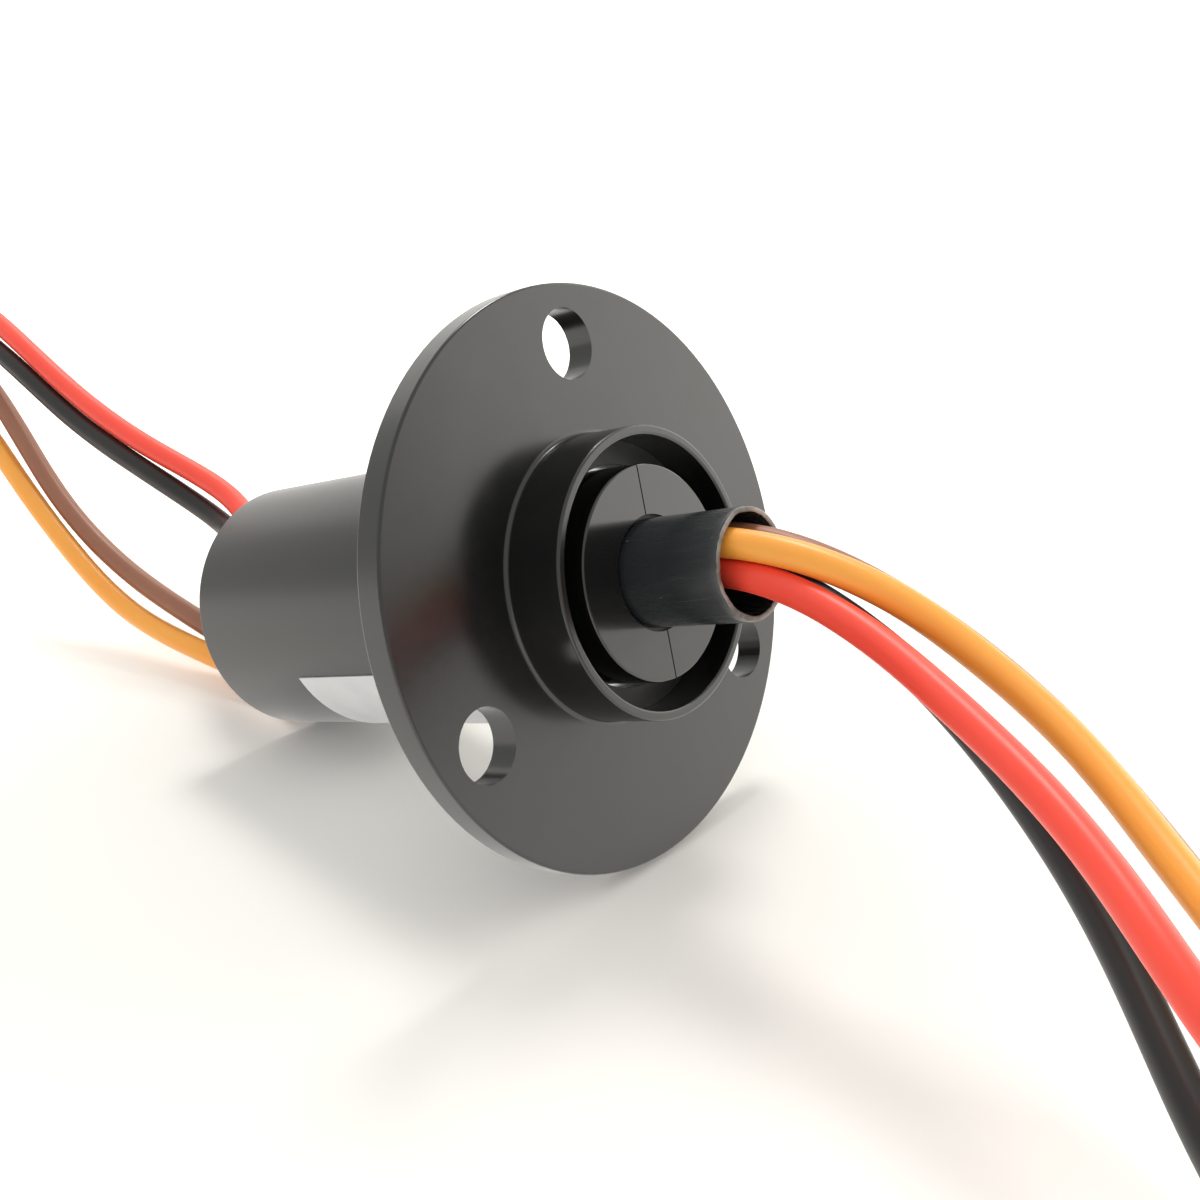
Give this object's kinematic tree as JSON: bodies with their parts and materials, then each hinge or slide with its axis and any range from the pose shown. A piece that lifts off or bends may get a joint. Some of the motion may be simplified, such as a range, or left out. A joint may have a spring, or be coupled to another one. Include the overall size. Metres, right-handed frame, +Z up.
{
  "type": "capsule slip ring",
  "caption": "Flanged capsule slip ring in black plastic, with coloured leads from its rotor sleeve and from its rear cap.",
  "frame": {"origin": "centre of the base of the box round the ring without its leads, on the table that it lies on", "axes": "+X along the table towards the rotor's sleeve, +Z up; the ring's own axis lies in the XZ plane and rises 17.2 degrees towards +X, because the ring rests on the rim of its flange and the rear rim of its barrel"},
  "size_m": [0.2524, 0.0513, 0.0431],
  "materials": {
    "housing_plastic": "moulded, semi-gloss black",
    "rotor_disc_plastic": "moulded, semi-gloss black",
    "sleeve_plastic": "drawn tube, semi-gloss black",
    "inner_plastic": "moulded, matt black",
    "label_paper": "bare paper film, satin",
    "brush_board": "glass-filled epoxy laminate",
    "brush_gold": "gold alloy wire",
    "contact_gold": "gold plated, polished",
    "bearing_steel": "ground",
    "ball_steel": "polished",
    "cage_brass": "pressed",
    "spacer_plastic": "turned, natural",
    "potting_epoxy": "cast epoxy",
    "red_insulation": "extruded, semi-gloss",
    "orange_insulation": "extruded, semi-gloss",
    "brown_insulation": "extruded, semi-gloss",
    "black_insulation": "extruded, semi-gloss",
    "coiled_leads": "coil of the four coloured leads",
    "tie_plastic": "wrapped twist tie"
  },
  "bodies": {
    "stator": {"flanged_housing": "housing_plastic", "front_retaining_ring": "inner_plastic", "rear_bearing_holder": "inner_plastic", "rear_cap": "inner_plastic", "label": "label_paper", "upper_brush_board": "brush_board", "lower_brush_board": "brush_board", "brush_wires_1": "brush_gold", "brush_wires_2": "brush_gold", "brush_wires_3": "brush_gold", "brush_wires_4": "brush_gold", "front_outer_race": "bearing_steel", "rear_outer_race": "bearing_steel", "rear_red_lead": "red_insulation", "rear_black_lead": "black_insulation", "rear_brown_lead": "brown_insulation", "rear_orange_lead": "orange_insulation", "rear_lead_coil": "coiled_leads", "rear_coil_ties": "tie_plastic"},
    "rotor": {"rotor_core": "inner_plastic", "ring_spacers": "spacer_plastic", "contact_ring_1": "contact_gold", "contact_ring_2": "contact_gold", "contact_ring_3": "contact_gold", "contact_ring_4": "contact_gold", "stack_clamp_ring": "inner_plastic", "near_disc_half": "rotor_disc_plastic", "far_disc_half": "rotor_disc_plastic", "lead_sleeve": "sleeve_plastic", "lead_potting": "potting_epoxy", "front_inner_race": "bearing_steel", "rear_inner_race": "bearing_steel", "front_red_lead": "red_insulation", "front_orange_lead": "orange_insulation", "front_brown_lead": "brown_insulation", "front_black_lead": "black_insulation", "front_lead_coil": "coiled_leads", "front_coil_ties": "tie_plastic"},
    "front_bearing_cage": {"front_cage": "cage_brass", "front_balls": "ball_steel"},
    "rear_bearing_cage": {"rear_cage": "cage_brass", "rear_balls": "ball_steel"}
  },
  "joints": [
    {"name": "rotor_spin", "type": "hinge", "parent": "stator", "child": "rotor", "pos_m": [0.01294, 0, 0.02188], "axis": [0.9552, 0, 0.296], "continuous": true},
    {"name": "front_cage_spin", "type": "hinge", "parent": "stator", "child": "front_bearing_cage", "pos_m": [0.01122, 0, 0.02135], "axis": [0.9552, 0, 0.296], "continuous": true},
    {"name": "rear_cage_spin", "type": "hinge", "parent": "stator", "child": "rear_bearing_cage", "pos_m": [-0.01772, 0, 0.01238], "axis": [0.9552, 0, 0.296], "continuous": true}
  ],
  "couplings": [
    {"joint": "front_cage_spin", "follows": "rotor_spin", "ratio": 0.444},
    {"joint": "rear_cage_spin", "follows": "rotor_spin", "ratio": 0.43}
  ]
}
